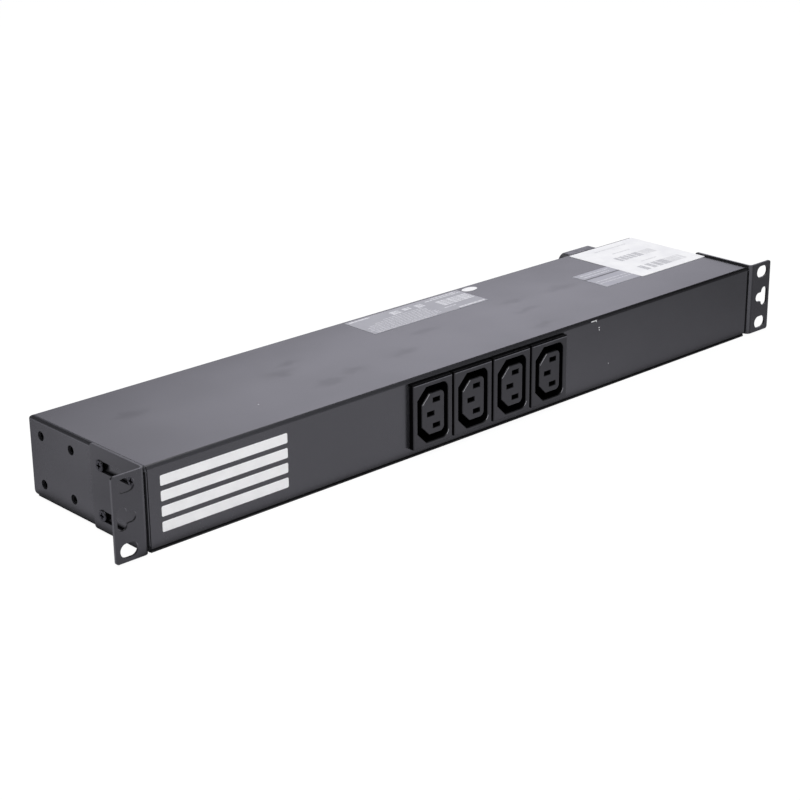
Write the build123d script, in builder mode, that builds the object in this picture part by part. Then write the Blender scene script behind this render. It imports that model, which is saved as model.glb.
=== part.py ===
# Rack power distribution unit, 1U high, for a 19 inch cabinet
# Origin at the middle of the underside, X along the front, Y to the rear, Z up, millimetres
from build123d import *
import os

os.makedirs("parts", exist_ok=True)

# Overall sizes
ear_span = 482.6
ear_flange_width = 19.05
body_width = ear_span - 2 * ear_flange_width
body_depth = 94.0
body_height = 43.0
half_width = body_width / 2
half_depth = body_depth / 2

# Folded steel cover
sheet = 1.2
bend_outer = 2.0
bend_inner = bend_outer - sheet
cover_bottom = 2.0
corner_seam = 0.5
flap_corner_r = 2.0
cover_height = body_height - cover_bottom
flap_inner_x = half_width - sheet
flap_inner_y = half_depth - sheet

# Tray under the cover, its side walls flat against the inside of the cover
tray_sheet = 1.0
tray_bend_outer = 0.6
tray_bend_inner = 0.3
tray_edge_inset = 0.6
tray_wall_gap = 0.2
tray_wall_clearance = 4.0
tray_wall_top = body_height - tray_wall_clearance
tray_wall_half_depth = flap_inner_y - tray_wall_gap
tray_half_depth = half_depth - tray_edge_inset
tray_inner_x = flap_inner_x - tray_sheet

# Square grid of fixing holes in both side walls
grid_columns = 4
grid_rows = 2
ear_columns = 2
grid_front_margin = 8.4
grid_rear_margin = 9.4
grid_low_margin = 9.0
grid_high_margin = 8.6
column_pitch = (body_depth - grid_front_margin - grid_rear_margin) / (grid_columns - 1)
row_pitch = (body_height - grid_low_margin - grid_high_margin) / (grid_rows - 1)
grid_first_y = grid_front_margin - half_depth
grid_mid_y = grid_first_y + column_pitch * (grid_columns - 1) / 2
grid_mid_z = grid_low_margin + row_pitch * (grid_rows - 1) / 2
flap_hole_r = 2.5
nut_barrel_r = 2.3
nut_head_r = 3.5
nut_head_length = 1.8
nut_bore_r = 1.7

# Rack ears, each folded from one sheet
ear_sheet = 1.2
ear_proud = 1.3
ear_low_z = 0.95
ear_over_top = 1.05
ear_height = body_height + ear_over_top - ear_low_z
ear_mid_z = ear_low_z + ear_height / 2
ear_bend_outer = 3.0
ear_bend_inner = ear_bend_outer - ear_sheet
ear_corner_r = 1.6
ear_leg_margin = 7.2
ear_leg_end_y = grid_first_y + column_pitch * (ear_columns - 1) + ear_leg_margin
ear_front_y = -half_depth - ear_proud
ear_outer_x = ear_span / 2
leg_outer_x = half_width + ear_sheet
leg_slot_height = 5.6
leg_slot_margin = 3.4
leg_slot_length = column_pitch * (ear_columns - 1) + 2 * leg_slot_margin
leg_slot_mid_y = grid_first_y + column_pitch * (ear_columns - 1) / 2

# Rack fixing slots and the keyhole between them
rack_slot_edge = 7.7
rack_slot_x = ear_outer_x - rack_slot_edge
rack_slot_margin = 5.675
rack_slot_pitch = ear_height - 2 * rack_slot_margin
rack_slot_length = 10.0
rack_slot_height = 7.2
keyhole_edge = 4.8
keyhole_x = ear_outer_x - keyhole_edge
keyhole_width = 5.6
keyhole_height = 11.7
keyhole_arm_reach = 7.9
keyhole_arm_length = keyhole_arm_reach + keyhole_width / 2
keyhole_arm_shift = (keyhole_arm_reach - keyhole_width / 2) / 2
keyhole_fillet = 0.8

# Ear screws, with a raised countersunk head that seats in the slot of the leg
screw_head_r = 3.0
screw_head_height = 0.6
screw_head_round = 0.5
screw_cone_r = 2.7
screw_cone_depth = 1.1
screw_cone_angle = 40
screw_shank_r = 1.65
screw_shank_length = 6.0
recess_width = 0.9
recess_length = 3.2
recess_depth = 1.2

# Power outlets, two banks of four behind and one bank of four in front
outlet_pitch = 29.2
outlets_in_bank = 4
front_bank_x = 0.0
rear_bank_x = (-130.0, 10.0)
rim_width = 27.6
rim_low_margin = 5.3
rim_high_margin = 2.4
rim_height = body_height - rim_low_margin - rim_high_margin
rim_mid_z = rim_low_margin + rim_height / 2
rim_proud = 3.2
rim_round = 0.6
socket_drop = 0.5
socket_mid_z = rim_mid_z - socket_drop
barrel_width = 26.2
barrel_shoulder = 1.15
barrel_height = rim_height - 2 * barrel_shoulder
barrel_depth = 23.0
barrel_clearance = 0.1
socket_width = 21.8
rim_border = 2.45
socket_height = rim_height - 2 * rim_border
socket_chamfer = 6.2
socket_round = 3.9
socket_depth = 17.0
mouth_chamfer = 0.35

# Core inside each outlet
core_width = 15.8
groove_height = 3.9
core_height = socket_height - 2 * groove_height
core_chamfer = 5.2
core_round = 2.9
core_edge_round = 0.45
pole_offset_x = 2.3
pole_offset_z = 7.0
earth_offset_x = -1.75
slot_width = 4.9
slot_height = 2.4

# Brass strips that join the contacts of a bank
contact_clearance = 0.1
contact_sheet = 0.45
contact_recess = 6.0
contact_width = slot_width - 2 * contact_clearance
contact_height = slot_height - 2 * contact_clearance
strip_height = 4.0
strip_thickness = 1.5

# Input cord gland at the rear
gland_edge = 40.65
gland_x = half_width - gland_edge
gland_width = 31.0
gland_low_margin = 4.95
gland_high_margin = 1.55
gland_height = body_height - gland_low_margin - gland_high_margin
gland_mid_z = gland_low_margin + gland_height / 2
gland_length = 9.3
gland_corner_r = 5.0
gland_edge_round = 0.8
gland_neck_r = 10.0
gland_neck_clearance = 0.15
gland_neck_length = 9.0
gland_bore_r = 5.5
locknut_flats = 27.0
locknut_thickness = 5.0

# Earth stud in the tray
stud_edge = 17.25
stud_x = half_width - stud_edge
stud_y = -20.0
stud_r = 2.0
stud_length = 14.0
stud_flange_r = 4.5
stud_flange_thickness = 1.0
stud_nut_flats = 7.0
stud_nut_thickness = 3.2
stud_nut_clearance = 0.1

# Planes of the walls, all with X to the right or Y to the rear
front_plane = Plane.XZ.offset(half_depth)
rear_plane = Plane.XZ.offset(-half_depth)
rear_inside = Plane.XZ.offset(-flap_inner_y)
outlet_places = [(n - (outlets_in_bank - 1) / 2) * outlet_pitch for n in range(outlets_in_bank)]
front_places = [front_bank_x + step for step in outlet_places]
rear_places = [bank + step for bank in rear_bank_x for step in outlet_places]

# Cover: top, front, rear and both sides folded down from one sheet
with BuildPart() as cover:
    with BuildSketch(Plane.XY.offset(cover_bottom)):
        Rectangle(body_width, body_depth)
    extrude(amount=cover_height)
    fillet(cover.edges().group_by(Axis.Z)[-1], radius=bend_outer)
    with BuildSketch(Plane.XY.offset(cover_bottom)):
        Rectangle(2 * flap_inner_x, 2 * flap_inner_y)
    extrude(amount=cover_height - sheet, mode=Mode.SUBTRACT)
    ceiling = cover.faces().filter_by(Axis.Z).sort_by(Axis.Z)[-2]
    fillet(ceiling.edges(), radius=bend_inner)
    seam_x = flap_inner_x - corner_seam / 2
    seam_y = half_depth - sheet / 2
    with BuildSketch(Plane.XY.offset(cover_bottom)):
        with GridLocations(2 * seam_x, 2 * seam_y, 2, 2):
            Rectangle(corner_seam, sheet)
    extrude(amount=cover_height, mode=Mode.SUBTRACT)
    flap_ends = cover.edges().filter_by(Axis.X).group_by(Axis.Z)[0].group_by(SortBy.LENGTH)[0]
    fillet(flap_ends, radius=flap_corner_r)
    with BuildSketch(Plane.YZ.offset(-half_width)):
        with Locations((grid_mid_y, grid_mid_z)):
            with GridLocations(column_pitch, row_pitch, grid_columns, grid_rows):
                Circle(flap_hole_r)
    extrude(amount=body_width, mode=Mode.SUBTRACT)
    with BuildSketch(front_plane):
        with Locations(*[(x, socket_mid_z) for x in front_places]):
            Rectangle(barrel_width + 2 * barrel_clearance, barrel_height + 2 * barrel_clearance)
    extrude(amount=-sheet, mode=Mode.SUBTRACT)
    with BuildSketch(rear_inside):
        with Locations(*[(x, socket_mid_z) for x in rear_places]):
            Rectangle(barrel_width + 2 * barrel_clearance, barrel_height + 2 * barrel_clearance)
        with Locations((gland_x, gland_mid_z)):
            Circle(gland_neck_r + gland_neck_clearance)
    extrude(amount=-sheet, mode=Mode.SUBTRACT)
cover.part.label = "cover"
export_step(cover.part, "parts/cover.step")

# Tray: floor and two upright walls bent from one sheet, with a lip at the front and the rear
with BuildPart() as tray:
    with BuildSketch(Plane.XZ.offset(tray_wall_half_depth)) as tray_section:
        with Locations((0, tray_wall_top / 2)):
            Rectangle(2 * flap_inner_x, tray_wall_top)
        fillet(tray_section.vertices().group_by(Axis.Y)[0], radius=tray_bend_outer)
        with BuildSketch(mode=Mode.PRIVATE) as tray_hollow:
            with Locations((0, (tray_wall_top + tray_sheet) / 2)):
                Rectangle(2 * tray_inner_x, tray_wall_top - tray_sheet)
            fillet(tray_hollow.vertices().group_by(Axis.Y)[0], radius=tray_bend_inner)
        add(tray_hollow.sketch, mode=Mode.SUBTRACT)
    extrude(amount=-2 * tray_wall_half_depth)
    with BuildSketch(Plane.XY):
        Rectangle(2 * (flap_inner_x - tray_bend_outer), 2 * tray_half_depth)
    extrude(amount=tray_sheet)
    with BuildSketch(Plane.YZ.offset(-flap_inner_x)):
        with Locations((grid_mid_y, grid_mid_z)):
            with GridLocations(column_pitch, row_pitch, grid_columns, grid_rows):
                Circle(nut_barrel_r)
    extrude(amount=2 * flap_inner_x, mode=Mode.SUBTRACT)
    with BuildSketch(Plane.XY):
        with Locations((stud_x, stud_y)):
            Circle(stud_r)
    extrude(amount=tray_sheet, mode=Mode.SUBTRACT)
tray.part.label = "tray"
export_step(tray.part, "parts/tray.step")

# Pieces that repeat on both sides; sign is -1 on the left and 1 on the right
for side, sign in (("left", -1), ("right", 1)):
    wall_inside = Plane(origin=(sign * flap_inner_x, 0, 0), x_dir=(0, 1, 0), z_dir=(-sign, 0, 0))
    leg_face = Plane(origin=(sign * half_width, 0, 0), x_dir=(0, 1, 0), z_dir=(sign, 0, 0))
    leg_outside = leg_face.offset(ear_sheet)
    up = 1 if leg_face.y_dir.Z > 0 else -1

    # Press nuts in the wall of the tray
    with BuildPart() as nuts:
        with BuildSketch(wall_inside):
            with Locations((grid_mid_y, -up * grid_mid_z)):
                with GridLocations(column_pitch, row_pitch, grid_columns, grid_rows):
                    Circle(nut_barrel_r)
        extrude(amount=tray_sheet)
        with BuildSketch(wall_inside.offset(tray_sheet)):
            with Locations((grid_mid_y, -up * grid_mid_z)):
                with GridLocations(column_pitch, row_pitch, grid_columns, grid_rows):
                    Circle(nut_head_r)
        extrude(amount=nut_head_length)
        with BuildSketch(wall_inside):
            with Locations((grid_mid_y, -up * grid_mid_z)):
                with GridLocations(column_pitch, row_pitch, grid_columns, grid_rows):
                    Circle(nut_bore_r)
        extrude(amount=tray_sheet + nut_head_length, mode=Mode.SUBTRACT)
    nuts.part.label = f"side_nuts_{side}"
    export_step(nuts.part, f"parts/side_nuts_{side}.step")

    # Ear: flange in front, leg along the side of the cover
    with BuildPart() as ear:
        with BuildSketch(Plane.XY.offset(ear_low_z)) as ear_section:
            with BuildLine():
                Polyline(
                    (sign * half_width, ear_leg_end_y),
                    (sign * half_width, ear_front_y),
                    (sign * ear_outer_x, ear_front_y),
                    (sign * ear_outer_x, ear_front_y + ear_sheet),
                    (sign * leg_outer_x, ear_front_y + ear_sheet),
                    (sign * leg_outer_x, ear_leg_end_y),
                    close=True,
                )
            make_face()
            corners = ear_section.vertices().sort_by_distance((sign * half_width, ear_front_y))
            fillet(corners[0], radius=ear_bend_outer)
            corners = ear_section.vertices().sort_by_distance((sign * leg_outer_x, ear_front_y + ear_sheet))
            fillet(corners[0], radius=ear_bend_inner)
        extrude(amount=ear_height)
        flange_corners = ear.edges().filter_by(Axis.Y).group_by(Axis.X)[0 if sign < 0 else -1]
        leg_corners = ear.edges().filter_by(Axis.X).group_by(Axis.Y)[-1]
        fillet(flange_corners + leg_corners, radius=ear_corner_r)
        with BuildSketch(Plane.XZ.offset(-ear_front_y)) as rack_holes:
            with Locations((sign * rack_slot_x, ear_mid_z)):
                with GridLocations(0, rack_slot_pitch, 1, 2):
                    SlotOverall(rack_slot_length, rack_slot_height)
        extrude(amount=-ear_sheet, mode=Mode.SUBTRACT)
        with BuildSketch(Plane.XZ.offset(-ear_front_y)) as keyhole:
            with Locations((sign * keyhole_x, ear_mid_z)):
                SlotOverall(keyhole_height, keyhole_width, rotation=90)
            with Locations((sign * (keyhole_x - keyhole_arm_shift), ear_mid_z)):
                SlotOverall(keyhole_arm_length, keyhole_width)
            offset(amount=keyhole_fillet)
            offset(amount=-keyhole_fillet)
        extrude(amount=-ear_sheet, mode=Mode.SUBTRACT)
        with BuildSketch(leg_face):
            with Locations((leg_slot_mid_y, up * grid_mid_z)):
                with GridLocations(0, row_pitch, 1, grid_rows):
                    SlotOverall(leg_slot_length, leg_slot_height)
        extrude(amount=ear_sheet, mode=Mode.SUBTRACT)
    ear.part.label = f"ear_{side}"
    export_step(ear.part, f"parts/ear_{side}.step")

    # Raised countersunk screws with a cross recess
    screw_centre = (leg_slot_mid_y, up * grid_mid_z)
    with BuildPart() as screws:
        with BuildSketch(leg_outside):
            with Locations(screw_centre):
                with GridLocations(column_pitch, row_pitch, ear_columns, grid_rows):
                    Circle(screw_head_r)
        extrude(amount=screw_head_height)
        head_tops = screws.faces().filter_by(Axis.X).group_by(Axis.X)[0 if sign < 0 else -1]
        fillet(head_tops.edges(), radius=screw_head_round)
        with BuildSketch(leg_outside):
            with Locations(screw_centre):
                with GridLocations(column_pitch, row_pitch, ear_columns, grid_rows):
                    Circle(screw_cone_r)
        extrude(amount=-screw_cone_depth, taper=screw_cone_angle)
        with BuildSketch(leg_outside):
            with Locations(screw_centre):
                with GridLocations(column_pitch, row_pitch, ear_columns, grid_rows):
                    Circle(screw_shank_r)
        extrude(amount=-screw_shank_length)
        with BuildSketch(leg_outside.offset(screw_head_height)):
            with Locations(screw_centre):
                with GridLocations(column_pitch, row_pitch, ear_columns, grid_rows):
                    Rectangle(recess_length, recess_width)
                    Rectangle(recess_width, recess_length)
        extrude(amount=-recess_depth, mode=Mode.SUBTRACT)
    screws.part.label = f"ear_screws_{side}"
    export_step(screws.part, f"parts/ear_screws_{side}.step")

# Outlets: each a housing with a core inside; turn is 1 in front and -1 behind
banks = [("front", 1, outlet_places)]
banks += [(f"rear_{n + 1}", -1, [bank + step for step in outlet_places]) for n, bank in enumerate(rear_bank_x)]
for bank_name, turn, places in banks:
    wall = Plane(origin=(0, -turn * half_depth, 0), x_dir=(turn, 0, 0), z_dir=(0, -turn, 0))
    face = wall.offset(rim_proud)
    floor = face.offset(-socket_depth)
    back = wall.offset(-barrel_depth)
    for n, place in enumerate(places, 1):
        centre_x = turn * place

        # Housing with its rim, barrel and open socket
        with BuildPart() as outlet:
            with BuildSketch(wall):
                with Locations((centre_x, rim_mid_z)):
                    Rectangle(rim_width, rim_height)
            extrude(amount=rim_proud)
            rim_edges = outlet.edges().group_by(Axis.Y)[0 if turn > 0 else -1]
            fillet(rim_edges, radius=rim_round)
            with BuildSketch(wall):
                with Locations((centre_x, socket_mid_z)):
                    Rectangle(barrel_width, barrel_height)
            extrude(amount=-barrel_depth)
            with BuildSketch(face) as socket_sketch:
                with Locations((centre_x, socket_mid_z)):
                    Rectangle(socket_width, socket_height)
                chamfer(socket_sketch.vertices().group_by(Axis.X)[0], length=socket_chamfer)
                fillet(socket_sketch.vertices().group_by(Axis.X)[-1], radius=socket_round)
            extrude(amount=-socket_depth, mode=Mode.SUBTRACT)
            rim_face = outlet.faces().sort_by(Axis.Y)[0 if turn > 0 else -1]
            chamfer(rim_face.inner_wires()[0].edges(), length=mouth_chamfer)
            with BuildSketch(floor):
                with Locations((centre_x + pole_offset_x, socket_mid_z)):
                    with GridLocations(0, 2 * pole_offset_z, 1, 2):
                        Rectangle(slot_width, slot_height)
                with Locations((centre_x + earth_offset_x, socket_mid_z)):
                    Rectangle(slot_width, slot_height)
            extrude(amount=socket_depth - rim_proud - barrel_depth, mode=Mode.SUBTRACT)
        outlet.part.label = f"outlet_{bank_name}_{n}"
        export_step(outlet.part, f"parts/outlet_{bank_name}_{n}.step")

        # Core with its three contact slots
        with BuildPart() as core:
            with BuildSketch(floor) as core_sketch:
                with Locations((centre_x, socket_mid_z)):
                    Rectangle(core_width, core_height)
                chamfer(core_sketch.vertices().group_by(Axis.X)[0], length=core_chamfer)
                fillet(core_sketch.vertices().group_by(Axis.X)[-1], radius=core_round)
            extrude(amount=socket_depth)
            fillet(core.edges().group_by(Axis.Y)[0 if turn > 0 else -1], radius=core_edge_round)
            with BuildSketch(floor):
                with Locations((centre_x + pole_offset_x, socket_mid_z)):
                    with GridLocations(0, 2 * pole_offset_z, 1, 2):
                        Rectangle(slot_width, slot_height)
                with Locations((centre_x + earth_offset_x, socket_mid_z)):
                    Rectangle(slot_width, slot_height)
            extrude(amount=socket_depth, mode=Mode.SUBTRACT)
        core.part.label = f"core_{bank_name}_{n}"
        export_step(core.part, f"parts/core_{bank_name}_{n}.step")

    # Brass strip of each pole behind the bank, with a sleeve in every core
    poles = (("line", pole_offset_x, pole_offset_z), ("neutral", pole_offset_x, -pole_offset_z))
    poles += (("earth", earth_offset_x, 0),)
    for pole, offset_x, offset_z in poles:
        level = socket_mid_z + offset_z
        with BuildPart() as strip:
            with BuildSketch(back):
                with Locations((turn * sum(places) / outlets_in_bank + offset_x, level)):
                    Rectangle(outlet_pitch * (outlets_in_bank - 1) + contact_width, strip_height)
            extrude(amount=-strip_thickness)
            with BuildSketch(back):
                with Locations(*[(turn * place + offset_x, level) for place in places]):
                    Rectangle(contact_width, contact_height)
            extrude(amount=barrel_depth + rim_proud - contact_recess)
            with BuildSketch(back):
                with Locations(*[(turn * place + offset_x, level) for place in places]):
                    Rectangle(contact_width - 2 * contact_sheet, contact_height - 2 * contact_sheet)
            extrude(amount=barrel_depth + rim_proud - contact_recess, mode=Mode.SUBTRACT)
        strip.part.label = f"{pole}_strip_{bank_name}"
        export_step(strip.part, f"parts/{pole}_strip_{bank_name}.step")

# Input cord gland: moulded body behind, neck through the wall
with BuildPart() as gland:
    with BuildSketch(rear_plane):
        with Locations((gland_x, gland_mid_z)):
            RectangleRounded(gland_width, gland_height, gland_corner_r)
    extrude(amount=-gland_length)
    fillet(gland.edges().group_by(Axis.Y)[-1], radius=gland_edge_round)
    with BuildSketch(rear_plane):
        with Locations((gland_x, gland_mid_z)):
            Circle(gland_neck_r)
    extrude(amount=gland_neck_length)
    with BuildSketch(rear_plane.offset(gland_neck_length)):
        with Locations((gland_x, gland_mid_z)):
            Circle(gland_bore_r)
    extrude(amount=-gland_neck_length - gland_length, mode=Mode.SUBTRACT)
gland.part.label = "cord_gland"
export_step(gland.part, "parts/cord_gland.step")

with BuildPart() as locknut:
    with BuildSketch(rear_inside):
        with Locations((gland_x, gland_mid_z)):
            RegularPolygon(locknut_flats / 2, 6, major_radius=False)
            Circle(gland_neck_r, mode=Mode.SUBTRACT)
    extrude(amount=locknut_thickness)
locknut.part.label = "gland_locknut"
export_step(locknut.part, "parts/gland_locknut.step")

# Earth stud and its nut on the floor of the tray
with BuildPart() as stud:
    with BuildSketch(Plane.XY):
        with Locations((stud_x, stud_y)):
            Circle(stud_r)
    extrude(amount=stud_length)
    with BuildSketch(Plane.XY.offset(tray_sheet)):
        with Locations((stud_x, stud_y)):
            Circle(stud_flange_r)
    extrude(amount=stud_flange_thickness)
stud.part.label = "earth_stud"
export_step(stud.part, "parts/earth_stud.step")

with BuildPart() as stud_nut:
    with BuildSketch(Plane.XY.offset(tray_sheet + stud_flange_thickness)):
        with Locations((stud_x, stud_y)):
            RegularPolygon(stud_nut_flats / 2, 6, major_radius=False)
            Circle(stud_r + stud_nut_clearance, mode=Mode.SUBTRACT)
    extrude(amount=stud_nut_thickness)
stud_nut.part.label = "earth_nut"
export_step(stud_nut.part, "parts/earth_nut.step")
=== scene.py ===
"""Looks of the rack power distribution unit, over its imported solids, in metres."""
import math

import bmesh
import bpy
from mathutils import Matrix, Vector


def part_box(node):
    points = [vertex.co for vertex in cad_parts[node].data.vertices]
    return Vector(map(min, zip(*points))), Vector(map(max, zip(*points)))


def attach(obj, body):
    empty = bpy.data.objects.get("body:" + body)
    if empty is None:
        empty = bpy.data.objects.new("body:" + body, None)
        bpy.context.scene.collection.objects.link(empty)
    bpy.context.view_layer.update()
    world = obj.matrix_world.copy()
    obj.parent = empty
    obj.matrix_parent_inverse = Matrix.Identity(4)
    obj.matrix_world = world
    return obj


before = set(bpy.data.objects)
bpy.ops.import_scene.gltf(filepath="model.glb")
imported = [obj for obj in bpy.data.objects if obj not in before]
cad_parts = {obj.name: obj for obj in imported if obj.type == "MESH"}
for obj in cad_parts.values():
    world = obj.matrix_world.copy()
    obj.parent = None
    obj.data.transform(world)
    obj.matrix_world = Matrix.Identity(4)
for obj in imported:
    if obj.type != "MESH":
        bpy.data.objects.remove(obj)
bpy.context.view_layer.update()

MM = 0.001

# Camera, found from the edges of the cover and the ears in the photograph
LOOK_AT = Vector((-64.0, -47.0, 34.0)) * MM
AZIMUTH = math.radians(-42.95)
ELEVATION = math.radians(20.67)
ROLL = math.radians(-0.536)
DISTANCE = 976.56 * MM
FOCAL_PIXELS = 1934.4
FRAME_PIXELS = 800
SENSOR_MM = 36.0
FAR_CLIP = 50

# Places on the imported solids, and a distance farther out than any of them
COVER_LOW, COVER_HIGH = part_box("cover")
TOP = COVER_HIGH.z
FRONT = COVER_LOW.y
OUTLET_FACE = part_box("outlet_front_1")[0].y
BEYOND = 1.0

# Range of the fine noise and of the wide marks of handling, and what gives a range soft ends
NOISE_LOW = 0.35
NOISE_MIDDLE = 0.5
NOISE_HIGH = 0.65
HANDLING_LOW = 0.38
HANDLING_HIGH = 0.66
SMOOTH = {"interpolation_type": "SMOOTHSTEP"}


def linear(hex_colour):
    """Linear RGBA of an sRGB hex colour."""
    values = [int(hex_colour[i : i + 2], 16) / 255 for i in (0, 2, 4)]
    return tuple(v / 12.92 if v <= 0.04045 else ((v + 0.055) / 1.055) ** 2.4 for v in values) + (1.0,)


def feed(tree, node, inputs):
    """Each named input of a node gets a value or another node's output."""
    for socket, value in inputs.items():
        if isinstance(value, bpy.types.NodeSocket):
            tree.links.new(value, node.inputs[socket])
        else:
            node.inputs[socket].default_value = value


def add(tree, kind, inputs=None, **settings):
    """One new node with its settings and its inputs."""
    node = tree.nodes.new(kind)
    for name, value in settings.items():
        setattr(node, name, value)
    feed(tree, node, inputs or {})
    return node


def empty_tree(owner):
    """The node tree of a material or a world, with nothing in it."""
    owner.use_nodes = True
    owner.node_tree.nodes.clear()
    return owner.node_tree


def new_material(name):
    """A new material with its node tree and its shader."""
    material = bpy.data.materials.new(name)
    tree = empty_tree(material)
    shader = add(tree, "ShaderNodeBsdfPrincipled")
    add(tree, "ShaderNodeOutputMaterial", {"Surface": shader.outputs["BSDF"]})
    return material, tree, shader


def shader_of(material):
    """The shader of a material made before."""
    return next(node for node in material.node_tree.nodes if node.type == "BSDF_PRINCIPLED")


def spread(tree, value, low, high, to_low=0.0, to_high=1.0, **settings):
    """A number between low and high, spread over a new range."""
    ends = {"Value": value, "From Min": low, "From Max": high, "To Min": to_low, "To Max": to_high}
    return add(tree, "ShaderNodeMapRange", ends, **settings).outputs["Result"]


def grain(tree, size_mm, detail=2.0, stretch=(1.0, 1.0, 1.0)):
    """Noise whose grain is about size_mm across, in the object's own coordinates."""
    place = add(tree, "ShaderNodeTexCoord").outputs["Object"]
    stretched = add(tree, "ShaderNodeMapping", {"Vector": place, "Scale": stretch}).outputs["Vector"]
    settings = {"Vector": stretched, "Scale": 1 / (size_mm * MM), "Detail": detail}
    return add(tree, "ShaderNodeTexNoise", settings).outputs["Fac"]


def mottle(tree, size_mm, **settings):
    """Noise spread out from 0 to 1."""
    return spread(tree, grain(tree, size_mm, **settings), NOISE_LOW, NOISE_HIGH)


def wavering(tree, share, middle, reach):
    """A number that follows the share, as far as the reach to either side of its middle."""
    return spread(tree, share, 0.0, 1.0, middle - reach, middle + reach)


def blend(tree, share, one, other):
    """A colour between two others."""
    return add(tree, "ShaderNodeMixRGB", {"Fac": share, "Color1": one, "Color2": other}).outputs["Color"]


def two_tone(tree, share, dark, light):
    """A colour between two hex colours."""
    return blend(tree, share, linear(dark), linear(light))


def relief(tree, shader, height, depth_mm, strength):
    """A bump of the given depth on the shader."""
    settings = {"Height": height, "Distance": depth_mm * MM, "Strength": strength}
    feed(tree, shader, {"Normal": add(tree, "ShaderNodeBump", settings).outputs["Normal"]})


def position_of(tree):
    """The shaded point, in metres from the origin of the part."""
    return add(tree, "ShaderNodeNewGeometry").outputs["Position"]


def part_place(tree):
    """X, Y and Z of the shaded point."""
    return add(tree, "ShaderNodeSeparateXYZ", {0: position_of(tree)}).outputs


def size_of(tree, value):
    """A number without its sign."""
    return add(tree, "ShaderNodeMath", {0: value}, operation="ABSOLUTE").outputs[0]


def times(tree, one, other):
    """Two numbers multiplied."""
    return add(tree, "ShaderNodeMath", {0: one, 1: other}, operation="MULTIPLY").outputs[0]


def larger(tree, one, other):
    """The larger of two numbers."""
    return add(tree, "ShaderNodeMath", {0: one, 1: other}, operation="MAXIMUM").outputs[0]


def between(tree, low, high, share):
    """A number between two others."""
    return add(tree, "ShaderNodeMix", {0: share, 2: low, 3: high}).outputs[0]


def vector(tree, operation, *values):
    """Vectors joined by one operation."""
    return add(tree, "ShaderNodeVectorMath", dict(enumerate(values)), operation=operation).outputs[0]


def vector_number(tree, operation, *values):
    """The number that one operation gives for vectors, such as a length."""
    return add(tree, "ShaderNodeVectorMath", dict(enumerate(values)), operation=operation).outputs["Value"]


def band(tree, value, low, high, soft):
    """1 between low and high, falling to 0 over a soft edge."""
    rise = spread(tree, value, low - soft, low)
    return times(tree, rise, spread(tree, value, high, high + soft, 1.0, 0.0))


# Colours and sheens that several coats share: black without sheen for painted shade, and the sheen of open
# faces
PAINTED_SHADE_BLACK = "060607"
PAINTED_SHADE_SHEEN = 0.05
FACE_SHEEN = 0.5

# Widths of the soft edges between tones, in metres
HAIR_SOFT = 0.00005
FINE_SOFT = 0.0001
EDGE_SOFT = 0.0002
SIDE_BEND_SOFT = 0.0003
BEND_SOFT = 0.0004
GAP_END_SOFT = 0.0005
BANK_TOP_SOFT = 0.0007
SLOT_SHADE_SOFT = 0.0015
SLOT_OPEN_SOFT = 0.002

# Painted shade in the gaps beside the ears and above the front outlets, in metres
GAP_START = 0.2206
LEFT_GAP_START = 0.2216
GAP_END = 0.2222
GAP_TOP = 0.0412
GAP_DEPTH = -0.0469
BANK_REACH = 0.058
BANK_LOW = 0.04
BANK_TOP = 0.0407

# Painted shade in the slots in the legs of the ears, in metres: middle height of each row and places along
# the side
SLOT_ROWS = (0.009, 0.0344)
SLOT_REACH = 0.0029
SLOT_SHADE = 0.0015
SLOT_FRONT = -0.0422
SLOT_OPEN = -0.0185
SLOT_REAR = -0.0096
SIDE_FACE = 0.222

# Bend of the right ear and the end of the left one, in metres, and the lighter tone and sheen painted there
# as light
EAR_BEND_LEFT = 0.2226
EAR_BEND_RIGHT = 0.2238
EAR_END = 0.24122
EAR_PAINTED_LIGHT = "3C3C40"
EAR_PAINTED_SHEEN = 0.7

# Painted light and shade on the bends of the cover, in metres: along the front and along both sides
FRONT_BEND_LOW = 0.0414
FRONT_BEND_REAR = -0.0454
FRONT_BEND_END = 0.17
FRONT_BEND_PAINTED_LIGHT = "36363A"
FRONT_BEND_PAINTED_SHADE = "121213"
SIDE_BEND_START = 0.2204
SIDE_BEND_LOW = (0.0411, 0.0413)
SIDE_BEND_HIGH = (0.0429, 0.044)
SIDE_BEND_PAINTED_LIGHT = "3C3C41"

# Faces of the outlets, in metres, and the top edge above which the outlets get painted shade
FACE_START = 0.0495
FACE_END = 0.0497
FACE_TOP = 0.0401

# Dull marks on the top, in mm: X, Y and the reach along each
SMUDGES = (
    (112, 5, 17, 6),
    (74, 8, 15, 6),
    (70, -10, 15, 5),
    (57, -34, 13, 5),
    (2, 4, 13, 6),
    (-29, -14, 16, 6),
    (-66, -16, 13, 6),
    (-87, -21, 13, 6),
    (-98, 6, 13, 6),
    (-85, 15, 11, 5),
    (-187, 13, 16, 6),
)

# Shares of the reach between which a mark fades, the sheen left in it, and how its edge wanders in mm
SMUDGE_CORE = 0.1
SMUDGE_EDGE = 1.1
SMUDGE_SHEEN = 0.66
SMUDGE_GRAIN = 12.0
SMUDGE_WANDER = 14.0

# Painted shade: the top loses sheen towards the rear, in metres
REAR_SHADE_START = 0.0
REAR_SHADE_END = 0.046
REAR_SHADE = 0.5


def in_slot_rows(tree, z, low, high, soft):
    """1 between two heights, measured from the middle of either row of slots."""
    lower, upper = (band(tree, z, row + low, row + high, soft) for row in SLOT_ROWS)
    return larger(tree, lower, upper)


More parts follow.
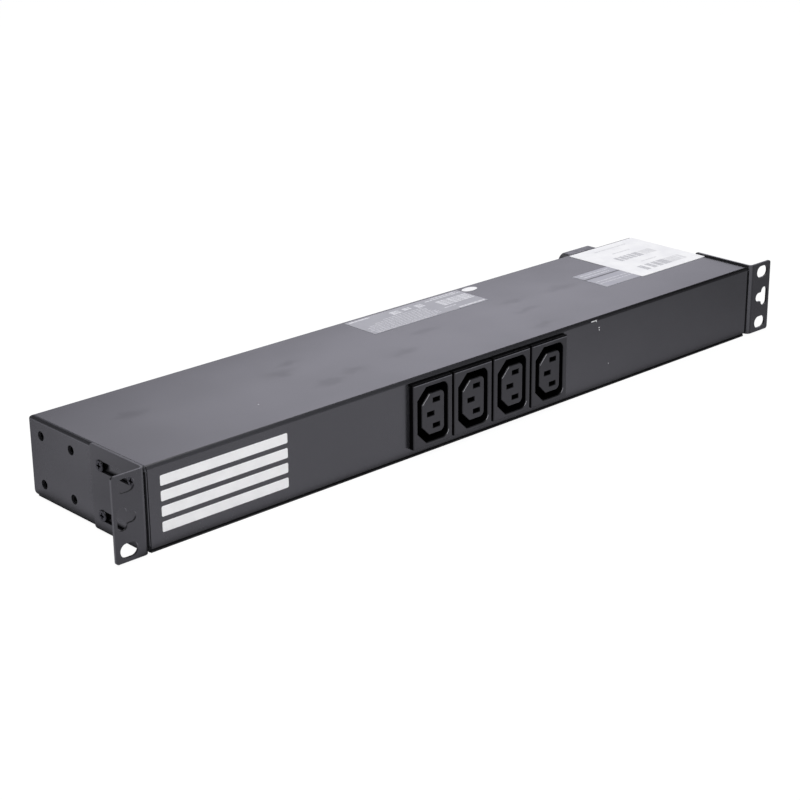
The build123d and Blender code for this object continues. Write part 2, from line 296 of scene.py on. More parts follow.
def shaded_places(tree):
    """1 where no light gets in: beside both ears, just above the outlets and in the slots of the legs."""
    x, y, z = part_place(tree)
    right = band(tree, x, GAP_START, GAP_END, EDGE_SOFT)
    left = band(tree, x, -GAP_END, -LEFT_GAP_START, FINE_SOFT)
    beside = times(tree, larger(tree, left, right), band(tree, z, 0.0, GAP_TOP, GAP_END_SOFT))
    along_bank = band(tree, size_of(tree, x), 0.0, BANK_REACH, GAP_END_SOFT)
    above = times(tree, along_bank, band(tree, z, BANK_LOW, BANK_TOP, BANK_TOP_SOFT))
    in_front = times(tree, larger(tree, beside, above), band(tree, y, -BEYOND, GAP_DEPTH, FINE_SOFT))
    rows = in_slot_rows(tree, z, -SLOT_REACH, SLOT_REACH, EDGE_SOFT)
    whole = times(tree, rows, band(tree, y, SLOT_OPEN, SLOT_REAR, SLOT_OPEN_SOFT))
    rows = in_slot_rows(tree, z, -SLOT_REACH, -SLOT_SHADE, SLOT_SHADE_SOFT)
    low_edge = times(tree, rows, band(tree, y, SLOT_FRONT, SLOT_REAR, EDGE_SOFT))
    at_sides = band(tree, size_of(tree, x), SIDE_FACE, BEYOND, FINE_SOFT)
    return larger(tree, in_front, times(tree, larger(tree, whole, low_edge), at_sides))


def dull_marks_and_rear_shade(tree):
    """1 on clean coat, less towards the rear as painted shade, and less where hands have dulled the top."""
    position = position_of(tree)
    settings = {"Vector": position, "Scale": 1 / (SMUDGE_GRAIN * MM), "Detail": 2.0}
    wander = add(tree, "ShaderNodeTexNoise", settings).outputs["Color"]
    shift = vector(tree, "SUBTRACT", wander, (NOISE_MIDDLE,) * 3)
    shift = vector(tree, "MULTIPLY", shift, (SMUDGE_WANDER * MM,) * 3)
    place = vector(tree, "ADD", position, shift)
    sheen_left = spread(tree, part_place(tree)[1], REAR_SHADE_START, REAR_SHADE_END, 1.0, REAR_SHADE)
    for x, y, reach_x, reach_y in SMUDGES:
        off = vector(tree, "SUBTRACT", place, (x * MM, y * MM, 0))
        off = vector(tree, "MULTIPLY", off, (1 / (reach_x * MM), 1 / (reach_y * MM), 0))
        away = vector_number(tree, "LENGTH", off)
        sheen_left = times(tree, sheen_left, spread(tree, away, SMUDGE_CORE, SMUDGE_EDGE, SMUDGE_SHEEN, 1.0, **SMOOTH))
    return sheen_left


def painted_front_bend(tree):
    """1 along the front bend of the cover, and its painted light and shade, which fades from lighter at the
    left end to darker at the right.
    """
    x, y, z = part_place(tree)
    high = band(tree, z, FRONT_BEND_LOW, BEYOND, BEND_SOFT)
    on_bend = times(tree, high, band(tree, y, -BEYOND, FRONT_BEND_REAR, BEND_SOFT))
    along = spread(tree, x, -FRONT_BEND_END, FRONT_BEND_END)
    return on_bend, two_tone(tree, along, FRONT_BEND_PAINTED_LIGHT, FRONT_BEND_PAINTED_SHADE)


def painted_side_bend_edges(tree):
    """1 along both edges of the bends at the sides, which get painted light and leave a narrow dark line
    between them.
    """
    x, _, z = part_place(tree)
    low, high = (band(tree, z, *part, SIDE_BEND_SOFT) for part in (SIDE_BEND_LOW, SIDE_BEND_HIGH))
    at_sides = band(tree, size_of(tree, x), SIDE_BEND_START, BEYOND, EDGE_SOFT)
    return times(tree, larger(tree, low, high), at_sides)


def lit_edges_of_ears(tree):
    """1 where the ears face the light: round the bend of the right one and on the end of the left one."""
    x = part_place(tree)[0]
    bend = band(tree, x, EAR_BEND_LEFT, EAR_BEND_RIGHT, BEND_SOFT)
    return larger(tree, bend, band(tree, x, -BEYOND, -EAR_END, HAIR_SOFT))


def near_the_face(tree, top_edge):
    """1 on the faces of the outlets, 0 in their sockets, against the panel and above the top edge."""
    _, y, z = part_place(tree)
    below_edge = band(tree, z, -BEYOND, top_edge, EDGE_SOFT)
    return times(tree, spread(tree, size_of(tree, y), FACE_START, FACE_END), below_edge)


def retone(tree, shader, share, tone):
    """The colour of a shader turns into the tone where the share is 1."""
    colour = shader.inputs["Base Color"].links[0].from_socket
    feed(tree, shader, {"Base Color": blend(tree, share, colour, tone)})


def toned(material, mask, hex_colour, sheen):
    """The coat takes another colour and sheen where the mask is 1."""
    tree, shader = material.node_tree, shader_of(material)
    share = mask(tree)
    retone(tree, shader, share, linear(hex_colour))
    feed(tree, shader, {"Specular IOR Level": spread(tree, share, 0.0, 1.0, FACE_SHEEN, sheen)})


def handling_and_painted_light(material):
    """The coat of the cover loses sheen where it was handled and, as painted shade, towards the rear, and
    takes painted light and shade along the bends.
    """
    tree, shader = material.node_tree, shader_of(material)
    sheen = shader.inputs["Specular IOR Level"].links[0].from_socket
    feed(tree, shader, {"Specular IOR Level": times(tree, sheen, dull_marks_and_rear_shade(tree))})
    retone(tree, shader, *painted_front_bend(tree))
    retone(tree, shader, painted_side_bend_edges(tree), linear(SIDE_BEND_PAINTED_LIGHT))


def powder_coat(name, dark, light, rough_low, rough_high):
    """Black epoxy powder coat on steel: satin, with a fine orange peel that spreads the highlights."""
    material, tree, shader = new_material(name)
    handling = spread(tree, grain(tree, size_mm=38.0), HANDLING_LOW, HANDLING_HIGH)
    feed(tree, shader, {
        "IOR": 1.6,
        "Base Color": two_tone(tree, handling, dark, light),
        "Roughness": spread(tree, handling, 0.0, 1.0, rough_low, rough_high),
    })
    relief(tree, shader, grain(tree, size_mm=1.3), depth_mm=0.02, strength=0.35)
    return material


def moulded_nylon(name, dark, light, roughness, top_edge=BEYOND):
    """Black glass-filled nylon: a spark-eroded face with a soft sheen, and painted shade, black without
    sheen, in its sockets, against the panel and above the top edge.
    """
    material, tree, shader = new_material(name)
    mottled = mottle(tree, size_mm=6.0, detail=3.0)
    open_face = near_the_face(tree, top_edge)
    feed(tree, shader, {
        "IOR": 1.46,
        # Painted shade: black without sheen away from the open face
        "Base Color": blend(tree, open_face, linear(PAINTED_SHADE_BLACK), two_tone(tree, mottled, dark, light)),
        "Specular IOR Level": spread(tree, open_face, 0.0, 1.0, PAINTED_SHADE_SHEEN, FACE_SHEEN),
        "Roughness": wavering(tree, mottled, roughness, reach=0.05),
    })
    relief(tree, shader, grain(tree, size_mm=0.35, detail=1.0), depth_mm=0.01, strength=0.5)
    return material


def plated_steel(name, dark, light, roughness):
    """Zinc plate or black oxide on turned steel: metallic, with faint turning marks."""
    material, tree, shader = new_material(name)
    marks = mottle(tree, size_mm=0.8)
    feed(tree, shader, {
        "Metallic": 1.0,
        "Base Color": two_tone(tree, marks, dark, light),
        "Roughness": wavering(tree, marks, roughness, reach=0.06),
    })
    relief(tree, shader, grain(tree, size_mm=0.5, detail=1.0), depth_mm=0.01, strength=0.4)
    return material


def stamped_brass(name, dark, light, roughness):
    """Rolled brass strip: yellow metal with a drawn grain along the strip."""
    material, tree, shader = new_material(name)
    drawn = mottle(tree, size_mm=0.6, stretch=(0.08, 1.0, 1.0))
    feed(tree, shader, {
        "Metallic": 1.0,
        "Base Color": two_tone(tree, drawn, dark, light),
        "Roughness": wavering(tree, drawn, roughness, reach=0.07),
    })
    relief(tree, shader, drawn, depth_mm=0.005, strength=0.3)
    return material


def label_film(name, dark, light, roughness, wave_mm=9.0, wave_depth=0.03, sheen=FACE_SHEEN):
    """Film, paper or print: smooth, with slight waves where it was rubbed down."""
    material, tree, shader = new_material(name)
    waves = mottle(tree, size_mm=wave_mm)
    feed(tree, shader, {
        "IOR": 1.45,
        "Specular IOR Level": sheen,
        "Base Color": two_tone(tree, waves, dark, light),
        "Roughness": wavering(tree, waves, roughness, reach=0.05),
    })
    relief(tree, shader, waves, depth_mm=wave_depth, strength=0.4)
    return material


COVER_COAT = powder_coat("powder_coat_cover", "252528", "29292C", 0.24, 0.265)
# Painted shade: black without sheen beside the ears, above the front outlets and in the slots of the legs
toned(COVER_COAT, shaded_places, PAINTED_SHADE_BLACK, PAINTED_SHADE_SHEEN)
# Handling marks, painted shade towards the rear, and painted light and shade along the bends
handling_and_painted_light(COVER_COAT)
TRAY_COAT = powder_coat("powder_coat_tray", "1C1C1F", "202023", 0.40, 0.48)
EAR_COAT = powder_coat("powder_coat_ear", "1C1C1F", "202023", 0.26, 0.32)
# Painted light: a lighter tone and more sheen where the ears face the light
toned(EAR_COAT, lit_edges_of_ears, EAR_PAINTED_LIGHT, EAR_PAINTED_SHEEN)
OUTLET_NYLON = moulded_nylon("nylon_outlet_housing", "18181A", "1C1C1E", 0.36, FACE_TOP)
CORE_NYLON = moulded_nylon("nylon_outlet_core", "18181A", "1C1C1E", 0.38)
GLAND_NYLON = moulded_nylon("nylon_cord_gland", "303034", "37373B", 0.3)
LOCKNUT_NYLON = moulded_nylon("nylon_locknut", "222225", "28282B", 0.5)
SCREW_OXIDE = plated_steel("black_oxide_screw", "3A3A3C", "4A4A4D", 0.32)
ZINC_PLATE = plated_steel("zinc_plate_steel", "9A9B9C", "B4B5B6", 0.34)
NUT_ZINC = plated_steel("dull_zinc_press_nut", "4C4D4E", "5C5D5E", 0.42)
CONTACT_BRASS = stamped_brass("rolled_brass_contact", "B08D4A", "CDAE6A", 0.35)
SILVER_FILM = label_film("silver_polyester_label", "8F8F96", "9B9BA2", 0.42)
SILVER_PRINT = label_film("pale_print_on_silver", "C6C6CC", "D2D2D8", 0.5, wave_mm=3.0)
RULED_FILM = label_film("silver_ruled_label", "9696A0", "A2A2AA", 0.42)
GREY_RULE = label_film("grey_rule_print", "5A5A60", "66666C", 0.5, wave_mm=3.0)
WHITE_PAPER = label_film("white_paper_label", "E2E2E6", "E9E9EC", 0.6)
BAR_PRINT = label_film("grey_bar_print", "A8A8AE", "B6B6BC", 0.6, wave_mm=2.0)
PALE_BAR_PRINT = label_film("pale_bar_print", "CACACE", "D4D4D8", 0.6, wave_mm=2.0)
WHITE_INK = label_film("white_screen_print", "EAEAEC", "EFEFF1", 0.6, wave_depth=0.002)
# Painted highlights on the bevels and corners of the outlets
PAINTED_GLINT = label_film("painted_glint_on_moulding", "94949A", "A4A4A8", 0.4, wave_mm=2.0)
# Painted highlight along the rounded top edges of the outlets
PAINTED_TOP_HIGHLIGHT = label_film("painted_highlight_on_top_edge", "5C5C62", "68686E", 0.4, wave_mm=2.0)
# Painted shadow: black film with little sheen round the contact slots
PAINTED_SLOT_SHADOW = label_film("painted_slot_shadow", PAINTED_SHADE_BLACK, "08080A", 0.6, wave_mm=2.0, sheen=PAINTED_SHADE_SHEEN)
BRIGHT_SCRATCH = label_film("bright_scratch", "DADADC", "E6E6E8", 0.4, wave_mm=2.0)

NODE_FINISHES = {
    "cover": COVER_COAT,
    "tray": TRAY_COAT,
    "ear_left": EAR_COAT,
    "ear_right": EAR_COAT,
    "ear_screws_": SCREW_OXIDE,
    "side_nuts_": NUT_ZINC,
    "outlet_": OUTLET_NYLON,
    "core_": CORE_NYLON,
    "line_strip_": CONTACT_BRASS,
    "neutral_strip_": CONTACT_BRASS,
    "earth_strip_": CONTACT_BRASS,
    "cord_gland": GLAND_NYLON,
    "gland_locknut": LOCKNUT_NYLON,
    "earth_stud": ZINC_PLATE,
    "earth_nut": ZINC_PLATE,
}


def finish_nodes():
    """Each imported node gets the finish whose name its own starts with."""
    for name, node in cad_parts.items():
        finish = next(m for start, m in NODE_FINISHES.items() if name.startswith(start))
        node.data.materials.clear()
        node.data.materials.append(finish)


def outlines(name, shapes, height, thickness, finish, facing="top"):
    """Thin plates on the top or the front from the corner points of each, in mm."""
    mesh = bmesh.new()
    for points in shapes:
        if facing == "top":
            base = [mesh.verts.new((x * MM, y * MM, height)) for x, y in points]
            push = Vector((0, 0, thickness * MM))
        else:
            base = [mesh.verts.new((x * MM, height, y * MM)) for x, y in points]
            push = Vector((0, -thickness * MM, 0))
        face = mesh.faces.new(base)
        solid = bmesh.ops.extrude_face_region(mesh, geom=[face])
        moved = [v for v in solid["geom"] if isinstance(v, bmesh.types.BMVert)]
        bmesh.ops.translate(mesh, verts=moved, vec=push)
    bmesh.ops.recalc_face_normals(mesh, faces=mesh.faces)
    data = bpy.data.meshes.new(name)
    mesh.to_mesh(data)
    mesh.free()
    piece = bpy.data.objects.new(name, data)
    bpy.context.collection.objects.link(piece)
    piece.data.materials.append(finish)
    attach(piece, "root")


def rounded_rectangle(left, low, right, high, corner, steps=5):
    """Corner points of a rectangle whose corners are rounded by the given radius."""
    if corner <= 0:
        return [(left, low), (right, low), (right, high), (left, high)]
    points = []
    centres = ((right - corner, low + corner, -90), (right - corner, high - corner, 0))
    centres += ((left + corner, high - corner, 90), (left + corner, low + corner, 180))
    for x, y, start in centres:
        for step in range(steps + 1):
            angle = math.radians(start + 90 * step / steps)
            points.append((x + corner * math.cos(angle), y + corner * math.sin(angle)))
    return points


def plate(name, rectangles, height, thickness, finish, corner=0.0, facing="top"):
    """Thin rounded plates on the top or the front: each rectangle is (left, low, right, high) in mm."""
    shapes = [rounded_rectangle(*rectangle, corner) for rectangle in rectangles]
    outlines(name, shapes, height, thickness, finish, facing)


# Labels on the top, in mm from the origin of the part: left, front, right and rear
RATING_LABEL = (-21.0, 18.4, 66.2, 43.7)
RULED_LABEL = (132.6, -12.8, 170.0, 14.0)
RULE = (132.6, 3.4, 170.0, 4.9)
PAPER_LABEL = (163.0, -14.2, 221.6, 44.4)
LABEL_THICKNESS = 0.08
PAPER_THICKNESS = 0.16
PRINT_THICKNESS = 0.02

# Oval sticker, in mm: middle X and Y, half its width and half its depth
OVAL_STICKER = (72.7, 40.0, 5.5, 3.1)
OVAL_STEPS = 40

# Blocks on the rating label, in mm from its left front corner, and the bars that fill them
RATING_BLOCKS = (
    (30.0, 17.2, 36.8, 22.8),
    (39.5, 18.6, 45.0, 21.9),
    (48.6, 16.8, 54.0, 22.8),
    (62.2, 9.6, 69.4, 18.4),
    (70.2, 9.6, 77.6, 18.4),
    (78.2, 9.6, 85.8, 18.4),
)
BLOCK_LINE = 1.3
BLOCK_PITCH = 1.75

# Rows of bars, in mm: left end, right end, low edge and height
RATING_ROWS = (
    (2.0, 17.0, 22.6, 1.3),
    (58.0, 86.0, 21.2, 1.0),
    (64.0, 84.0, 23.2, 0.8),
    (20.0, 50.0, 15.0, 0.5),
    (12.0, 51.0, 12.8, 0.5),
    (6.0, 50.0, 10.8, 0.5),
    (3.0, 51.0, 8.8, 0.5),
    (3.0, 53.0, 6.8, 0.5),
    (1.6, 53.0, 4.8, 0.5),
    (3.0, 53.0, 2.8, 0.5),
    (3.0, 48.0, 1.0, 0.5),
    (59.0, 68.0, 6.2, 0.8),
    (66.0, 86.0, 1.0, 1.6),
)
RULED_ROWS = (
    (136.0, 160.0, 10.6, 0.7),
    (136.0, 158.0, 7.4, 0.7),
    (134.5, 168.0, -3.2, 0.6),
    (134.5, 166.0, -6.6, 0.6),
)
PAPER_ROWS = ((179.0, 208.0, 37.4, 1.2), (185.0, 201.0, 27.9, 1.2), (186.0, 200.0, 5.9, 1.2))
BAR_LENGTHS = (3.4, 1.9, 4.6, 2.6, 3.8, 1.5)
BAR_GAP = 0.5

# Groups of upright bars on the paper label, in mm: low edge, high edge and the ends of each group
DARK_BARS = (
    (14.6, 22.0, ((178.0, 181.0), (182.0, 185.5), (186.2, 189.0), (190.0, 193.0), (194.0, 199.0))),
    (-7.5, 1.0, ((175.5, 179.5), (182.0, 186.0), (187.5, 191.5), (192.3, 199.0))),
)
PALE_BARS = (
    (14.6, 22.0, ((200.5, 211.0),)),
    (-7.5, 1.0, ((199.2, 209.4), (210.2, 213.0))),
)
FINE_PITCH = 1.1
FINE_SHARE = 0.72


def broken_row(left, right, low, height):
    """Short bars of several lengths in one row."""
    bars = []
    place = left
    while place < right:
        end = min(place + BAR_LENGTHS[len(bars) % len(BAR_LENGTHS)], right)
        bars.append((place, low, end, low + height))
        place = end + BAR_GAP
    return bars


def broken_rows(rows):
    """The bars of several rows."""
    return [bar for row in rows for bar in broken_row(*row)]


def fine_bars(low, high, groups):
    """Each group as upright bars and gaps of about half a millimetre."""
    bars = []
    for left, right in groups:
        steps = max(1, round((right - left) / FINE_PITCH))
        pitch = (right - left) / steps
        bars += [(left + n * pitch, low, left + (n + FINE_SHARE) * pitch, high) for n in range(steps)]
    return bars


def block_rows(left, low, right, high):
    """The rows of bars that fill one block."""
    lines = round((high - low) / BLOCK_PITCH)
    return [(left, right, low + n * BLOCK_PITCH, BLOCK_LINE) for n in range(lines)]


def oval(x, y, half_width, half_depth):
    """Corner points of an oval."""
    turns = [2 * math.pi * step / OVAL_STEPS for step in range(OVAL_STEPS)]
    return [(x + half_width * math.cos(turn), y + half_depth * math.sin(turn)) for turn in turns]


def top_labels():
    """Silver rating label, ruled label, white paper label and a small oval sticker, with plain bars only."""
    on_film = TOP + LABEL_THICKNESS * MM
    on_paper = TOP + PAPER_THICKNESS * MM
    plate("rating_label", [RATING_LABEL], TOP, LABEL_THICKNESS, SILVER_FILM, corner=0.6)
    left, low = RATING_LABEL[:2]
    rows = list(RATING_ROWS) + [row for block in RATING_BLOCKS for row in block_rows(*block)]
    marks = [(left + a, low + b, left + c, low + d) for a, b, c, d in broken_rows(rows)]
    plate("rating_label_bars", marks, on_film, PRINT_THICKNESS, SILVER_PRINT)
    plate("ruled_label", [RULED_LABEL], TOP, LABEL_THICKNESS, RULED_FILM, corner=0.5)
    fine = broken_rows(RULED_ROWS)
    plate("ruled_label_bars", fine, on_film, PRINT_THICKNESS, SILVER_PRINT)
    plate("ruled_label_rule", [RULE], on_film, PRINT_THICKNESS, GREY_RULE)
    plate("paper_label", [PAPER_LABEL], TOP, PAPER_THICKNESS, WHITE_PAPER, corner=0.8)
    dark = [bar for group in DARK_BARS for bar in fine_bars(*group)]
    pale = [bar for group in PALE_BARS for bar in fine_bars(*group)] + broken_rows(PAPER_ROWS)
    plate("paper_label_dark_bars", dark, on_paper, PRINT_THICKNESS, BAR_PRINT)
    plate("paper_label_pale_bars", pale, on_paper, PRINT_THICKNESS, PALE_BAR_PRINT)
    outlines("oval_sticker", [oval(*OVAL_STICKER)], TOP, LABEL_THICKNESS, WHITE_PAPER)


# Plain white printed rows on the front, for the user to write on, in mm
WRITE_ON_FIELD = (-213.8, 8.5, -138.2, 36.8)
WRITE_ON_ROWS = 4
WRITE_ON_ROW_HEIGHT = 5.2

# Marks of handling, in mm: left, low or front, right, high or rear
FRONT_SCRATCHES = (
    (80.5, 41.4, 85.2, 41.9),
    (84.7, 40.7, 85.2, 41.6),
    (86.9, 36.6, 87.6, 37.3),
    (87.2, 35.2, 87.8, 35.9),
    (95.8, 13.6, 96.3, 14.0),
)
TOP_SPECK = (-134.3, -20.7, -133.7, -20.3)


def print_in_front(name, rectangles, place, finish, corner=0.0):
    """Thin print that faces the front, at its place along Y."""
    plate(name, rectangles, place, PRINT_THICKNESS, finish, corner, "front")


def front_print():
    """Plain write-on rows on the front panel in white screen print, and a few bright scratches."""
    left, low, right, high = WRITE_ON_FIELD
    pitch = (high - low - WRITE_ON_ROW_HEIGHT) / (WRITE_ON_ROWS - 1)
    lows = [low + n * pitch for n in range(WRITE_ON_ROWS)]
    rows = [(left, start, right, start + WRITE_ON_ROW_HEIGHT) for start in lows]
    print_in_front("write_on_rows", rows, FRONT, WHITE_INK, corner=0.8)
    print_in_front("front_scratches", FRONT_SCRATCHES, FRONT, BRIGHT_SCRATCH, corner=0.1)


def top_speck():
    """A bright speck on the top."""
    plate("top_speck", [TOP_SPECK], TOP, PRINT_THICKNESS, BRIGHT_SCRATCH, corner=0.15)


# Outlets in front, in mm from the origin of the part and from the middle of each socket
OUTLET_XS = (-43.8, -14.6, 14.6, 43.8)
SOCKET_MID = 22.45
# Painted highlights on the core bevels and socket corners
CORE_CORNER = (-7.7, 5.9)
CORE_BEVEL_RUN = 5.1
CORNER_CENTRE = (7.0, -11.1)
CORNER_RADIUS = 4.05
CORNER_DEGREES = range(-50, 0, 10)
GLINT_WIDTH = 0.32
# Painted highlights along the top edges of the outlets
TOP_EDGE_REACH = 13.4
TOP_EDGE_LOW = 39.65
TOP_EDGE_HIGH = 39.95
CONTACT_SLOTS = ((2.3, 7.0), (2.3, -7.0), (-1.75, 0.0))
SLOT_HALF_WIDTH = 2.45
SLOT_HALF_HEIGHT = 1.2
# Width of the painted shadow round each contact slot
SLOT_SHADOW_WIDTH = 0.22


def core_bevel(x):
    """Strip along the upper left bevel of a core, for a painted highlight."""
    start_x, start_z = x + CORE_CORNER[0], SOCKET_MID + CORE_CORNER[1]
    end_x, end_z = start_x + CORE_BEVEL_RUN, start_z + CORE_BEVEL_RUN
    shift = GLINT_WIDTH * math.sqrt(0.5)
    low_end = [(start_x, start_z), (start_x + shift, start_z - shift)]
    return low_end + [(end_x + shift, end_z - shift), (end_x, end_z)]


def socket_corner(x):
    """Curved strip round the lower right corner of a socket, for a painted highlight."""
    centre_x, centre_z = x + CORNER_CENTRE[0], SOCKET_MID + CORNER_CENTRE[1]
    angles = [math.radians(degrees) for degrees in CORNER_DEGREES]
    arc = []
    for radius, turns in ((CORNER_RADIUS + GLINT_WIDTH, angles), (CORNER_RADIUS, angles[::-1])):
        arc += [(centre_x + radius * math.cos(turn), centre_z + radius * math.sin(turn)) for turn in turns]
    return arc


def slot_shadow_frame(mid_x, mid_z):
    """Four narrow rectangles round a contact slot, for painted shadow."""
    left, right = mid_x - SLOT_HALF_WIDTH, mid_x + SLOT_HALF_WIDTH
    low, high = mid_z - SLOT_HALF_HEIGHT, mid_z + SLOT_HALF_HEIGHT
    return [
        (left - SLOT_SHADOW_WIDTH, low - SLOT_SHADOW_WIDTH, right + SLOT_SHADOW_WIDTH, low),
        (left - SLOT_SHADOW_WIDTH, high, right + SLOT_SHADOW_WIDTH, high + SLOT_SHADOW_WIDTH),
        (left - SLOT_SHADOW_WIDTH, low, left, high),
        (right, low, right + SLOT_SHADOW_WIDTH, high),
    ]


def outlet_edges():
    """Painted highlights on the bevels, corners and top edges, and painted shadow round the contact slots,
    on the outlets in front.
    """
    glints = [shape for x in OUTLET_XS for shape in (core_bevel(x), socket_corner(x))]
    outlines("painted_moulding_glints", glints, OUTLET_FACE, PRINT_THICKNESS, PAINTED_GLINT, "front")
    tops = [(x - TOP_EDGE_REACH, TOP_EDGE_LOW, x + TOP_EDGE_REACH, TOP_EDGE_HIGH) for x in OUTLET_XS]
    print_in_front("painted_top_edge_highlights", tops, OUTLET_FACE, PAINTED_TOP_HIGHLIGHT)
    places = [(x + off_x, SOCKET_MID + off_z) for x in OUTLET_XS for off_x, off_z in CONTACT_SLOTS]
    frames = [part for place in places for part in slot_shadow_frame(*place)]
    print_in_front("painted_slot_shadows", frames, OUTLET_FACE, PAINTED_SLOT_SHADOW)


# Floor, in metres: its reach, its light in the picture and in gloss, and the shade close to the tray
FLOOR_REACH = 6.0
FLOOR_PAINT = "F4F4F4"
FLOOR_GLOW = 0.92
FLOOR_WHITE = 1.03
POOL_START = 0.0
POOL_END = 0.3
POOL_BRIGHT = 1.08
POOL_DIM = 0.36
LEFT_DIM_START = 0.215
LEFT_DIM_END = 0.25
LEFT_FRONT = 0.02
LEFT_REAR = 0.08
LEFT_FRONT_LIGHT = 0.52
LEFT_REAR_LIGHT = 0.76
SHADE_START = 0.002
SHADE_END = 0.0095
SHADE_DARK = 0.03
GLOSS_CAST = "F3F1FF"

# Backdrop in gloss: height of its top and of the ceiling, the dim horizon and two round patches
BACKDROP_TOP = math.radians(24)
CEILING_START = math.radians(35)
CEILING = 0.05
HORIZON_START = 0.1
HORIZON_END = 0.34
HORIZON_DIM = 0.7
PATCH_AZIMUTH = math.radians(43.5)
WIDE_CORE = math.radians(24)
WIDE_EDGE = math.radians(38)
WIDE_OUTSIDE = 0.2
LOBE_HEIGHT = math.radians(21)
LOBE_CORE = math.radians(1)
LOBE_EDGE = math.radians(13)
LOBE_LIGHT = 0.75
SOFT_LIGHT = 0.55

# Lamps: name, place and target in metres, size in metres and power in watts
LAMPS = (
    ("soft_box_left", (-0.38, -0.31, 1.3), (0, 0, 0.02), 0.5, 7.0),
    ("soft_box_top", (0.1, 0.5, 1.5), (0, 0, 0.02), 1.2, 8.0),
    ("glint_lamp", (-0.48, -1.03, 0.9), (0, -0.05, 0.02), 0.1, 1.6),
)


def seen_directly(tree):
    """1 for rays that come straight from the camera, from gloss or through glass, and 1 for gloss alone."""
    path = add(tree, "ShaderNodeLightPath").outputs
    glossy = path["Is Glossy Ray"]
    return larger(tree, larger(tree, path["Is Camera Ray"], glossy), path["Is Transmission Ray"]), glossy


def cool_in_gloss(tree, glossy):
    """White, with the cool cast of the studio in gloss."""
    return two_tone(tree, glossy, "FFFFFF", GLOSS_CAST)


def contact_shade(tree, position):
    """Dark close to the tray and full light a little way off."""
    corner = (COVER_HIGH.x, COVER_HIGH.y, BEYOND)
    outside = vector(tree, "SUBTRACT", vector(tree, "ABSOLUTE", position), corner)
    away = vector_number(tree, "LENGTH", vector(tree, "MAXIMUM", outside, (0, 0, 0)))
    return spread(tree, away, SHADE_START, SHADE_END, SHADE_DARK, 1.0, **SMOOTH)


def floor_in_gloss(tree):
    """Light of the floor in gloss: darker under the part, at its left and towards the right."""
    position = position_of(tree)
    across, along, _ = add(tree, "ShaderNodeSeparateXYZ", {0: position}).outputs
    right = spread(tree, across, POOL_START, POOL_END, POOL_BRIGHT, POOL_DIM)
    left_light = spread(tree, along, LEFT_FRONT, LEFT_REAR, LEFT_FRONT_LIGHT, LEFT_REAR_LIGHT)
    beside = spread(tree, across, -LEFT_DIM_END, -LEFT_DIM_START, 1.0, 0.0)
    left = between(tree, 1.0, left_light, beside)
    return times(tree, times(tree, right, left), contact_shade(tree, position))


def white_floor():
    """White floor that keeps the shadow."""
    mesh = bpy.data.meshes.new("floor")
    corners = [(-FLOOR_REACH, -FLOOR_REACH, 0), (FLOOR_REACH, -FLOOR_REACH, 0)]
    corners += [(FLOOR_REACH, FLOOR_REACH, 0), (-FLOOR_REACH, FLOOR_REACH, 0)]
    mesh.from_pydata(corners, [], [(0, 1, 2, 3)])
    floor = bpy.data.objects.new("floor", mesh)
    bpy.context.collection.objects.link(floor)
    material = bpy.data.materials.new("white_floor")
    tree = empty_tree(material)
    paint = add(tree, "ShaderNodeBsdfDiffuse", {"Color": linear(FLOOR_PAINT)})
    seen, glossy = seen_directly(tree)
    light = between(tree, FLOOR_WHITE, floor_in_gloss(tree), glossy)
    glow = add(tree, "ShaderNodeEmission", {"Color": cool_in_gloss(tree, glossy), "Strength": light})
    shares = {0: times(tree, seen, FLOOR_GLOW), 1: paint.outputs[0], 2: glow.outputs[0]}
    mixed = add(tree, "ShaderNodeMixShader", shares)
    add(tree, "ShaderNodeOutputMaterial", {"Surface": mixed.outputs[0]})
    floor.data.materials.append(material)


def round_patch(tree, aim, height, core, edge, outside, inside):
    """A soft round patch of the backdrop behind the part on the right, where the top mirrors it."""
    centre = (
        math.sin(PATCH_AZIMUTH) * math.cos(height),
        math.cos(PATCH_AZIMUTH) * math.cos(height),
        math.sin(height),
    )
    near = vector_number(tree, "DOT_PRODUCT", aim, centre)
    return spread(tree, near, math.cos(edge), math.cos(core), outside, inside, **SMOOTH)


def backdrop_in_gloss(tree):
    """Light of the backdrop in gloss: a dark ceiling, a dim horizon and the two round patches."""
    aim = add(tree, "ShaderNodeTexCoord").outputs["Generated"]
    height = add(tree, "ShaderNodeSeparateXYZ", {0: aim}).outputs["Z"]
    below = spread(tree, height, math.sin(BACKDROP_TOP), math.sin(CEILING_START), 1.0, CEILING, **SMOOTH)
    horizon = spread(tree, height, HORIZON_START, HORIZON_END, HORIZON_DIM, 1.0)
    wide = round_patch(tree, aim, 0.0, WIDE_CORE, WIDE_EDGE, WIDE_OUTSIDE, 1.0)
    lobe = round_patch(tree, aim, LOBE_HEIGHT, LOBE_CORE, LOBE_EDGE, 0.0, LOBE_LIGHT)
    lit = times(tree, times(tree, below, wide), horizon)
    return add(tree, "ShaderNodeMath", {0: lit, 1: lobe}, operation="ADD").outputs[0]


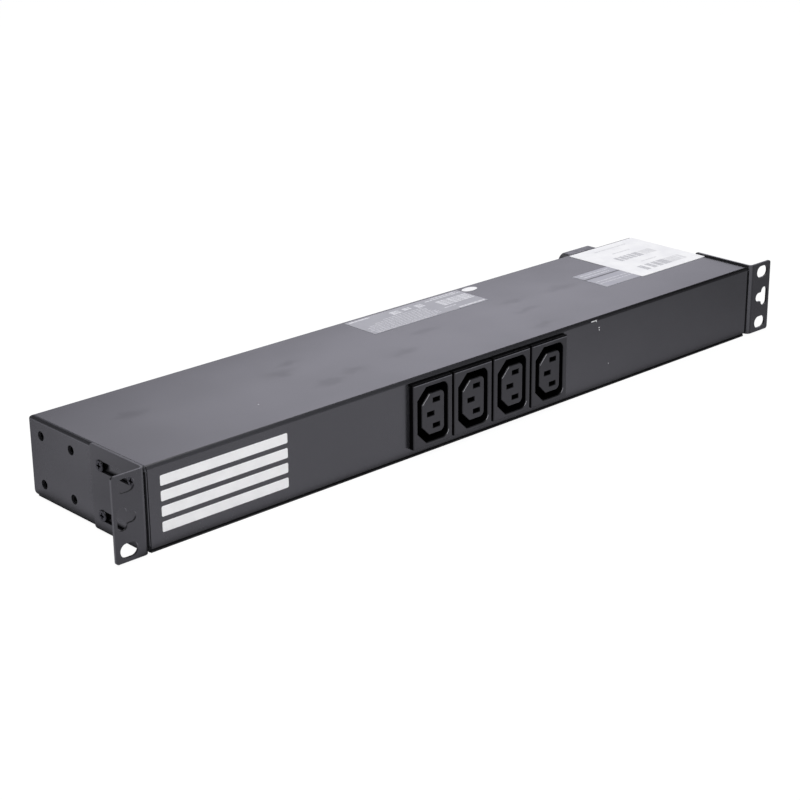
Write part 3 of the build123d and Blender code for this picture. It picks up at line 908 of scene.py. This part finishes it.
def studio_world():
    """White backdrop with an even soft light."""
    world = bpy.data.worlds.new("studio")
    bpy.context.scene.world = world
    tree = empty_tree(world)
    seen, glossy = seen_directly(tree)
    light = between(tree, 1.0, backdrop_in_gloss(tree), glossy)
    soft = add(tree, "ShaderNodeBackground", {"Color": (1, 1, 1, 1), "Strength": SOFT_LIGHT})
    white = add(tree, "ShaderNodeBackground", {"Color": cool_in_gloss(tree, glossy), "Strength": light})
    mixed = add(tree, "ShaderNodeMixShader", {0: seen, 1: soft.outputs[0], 2: white.outputs[0]})
    add(tree, "ShaderNodeOutputWorld", {"Surface": mixed.outputs[0]})


def lamp(name, place, target, size, power):
    """Square area lamp aimed at a point."""
    data = bpy.data.lights.new(name, "AREA")
    data.energy = power
    data.size = size
    light = bpy.data.objects.new(name, data)
    light.location = place
    light.rotation_euler = (Vector(target) - Vector(place)).to_track_quat("-Z", "Y").to_euler()
    bpy.context.collection.objects.link(light)


def studio():
    """Floor, world, two soft boxes above and a small lamp in front for the glints on the moulded edges,
    which painted highlights add to.
    """
    white_floor()
    studio_world()
    for settings in LAMPS:
        lamp(*settings)


def camera():
    """Camera at the photograph's place, with its slight roll."""
    back = Vector((
        math.sin(AZIMUTH) * math.cos(ELEVATION),
        -math.cos(AZIMUTH) * math.cos(ELEVATION),
        math.sin(ELEVATION),
    ))
    level = Vector((0, 0, 1)).cross(back).normalized()
    upright = back.cross(level)
    across = level * math.cos(ROLL) + upright * math.sin(ROLL)
    up = upright * math.cos(ROLL) - level * math.sin(ROLL)
    data = bpy.data.cameras.new("camera")
    data.sensor_width = SENSOR_MM
    data.lens = FOCAL_PIXELS / FRAME_PIXELS * SENSOR_MM
    data.clip_end = FAR_CLIP
    view = bpy.data.objects.new("camera", data)
    turn = Matrix((across, up, back)).transposed().to_4x4()
    view.matrix_world = Matrix.Translation(LOOK_AT + back * DISTANCE) @ turn
    bpy.context.collection.objects.link(view)
    bpy.context.scene.camera = view


finish_nodes()
top_labels()
front_print()
outlet_edges()
top_speck()
studio()
camera()
bpy.context.scene.view_settings.view_transform = "Standard"
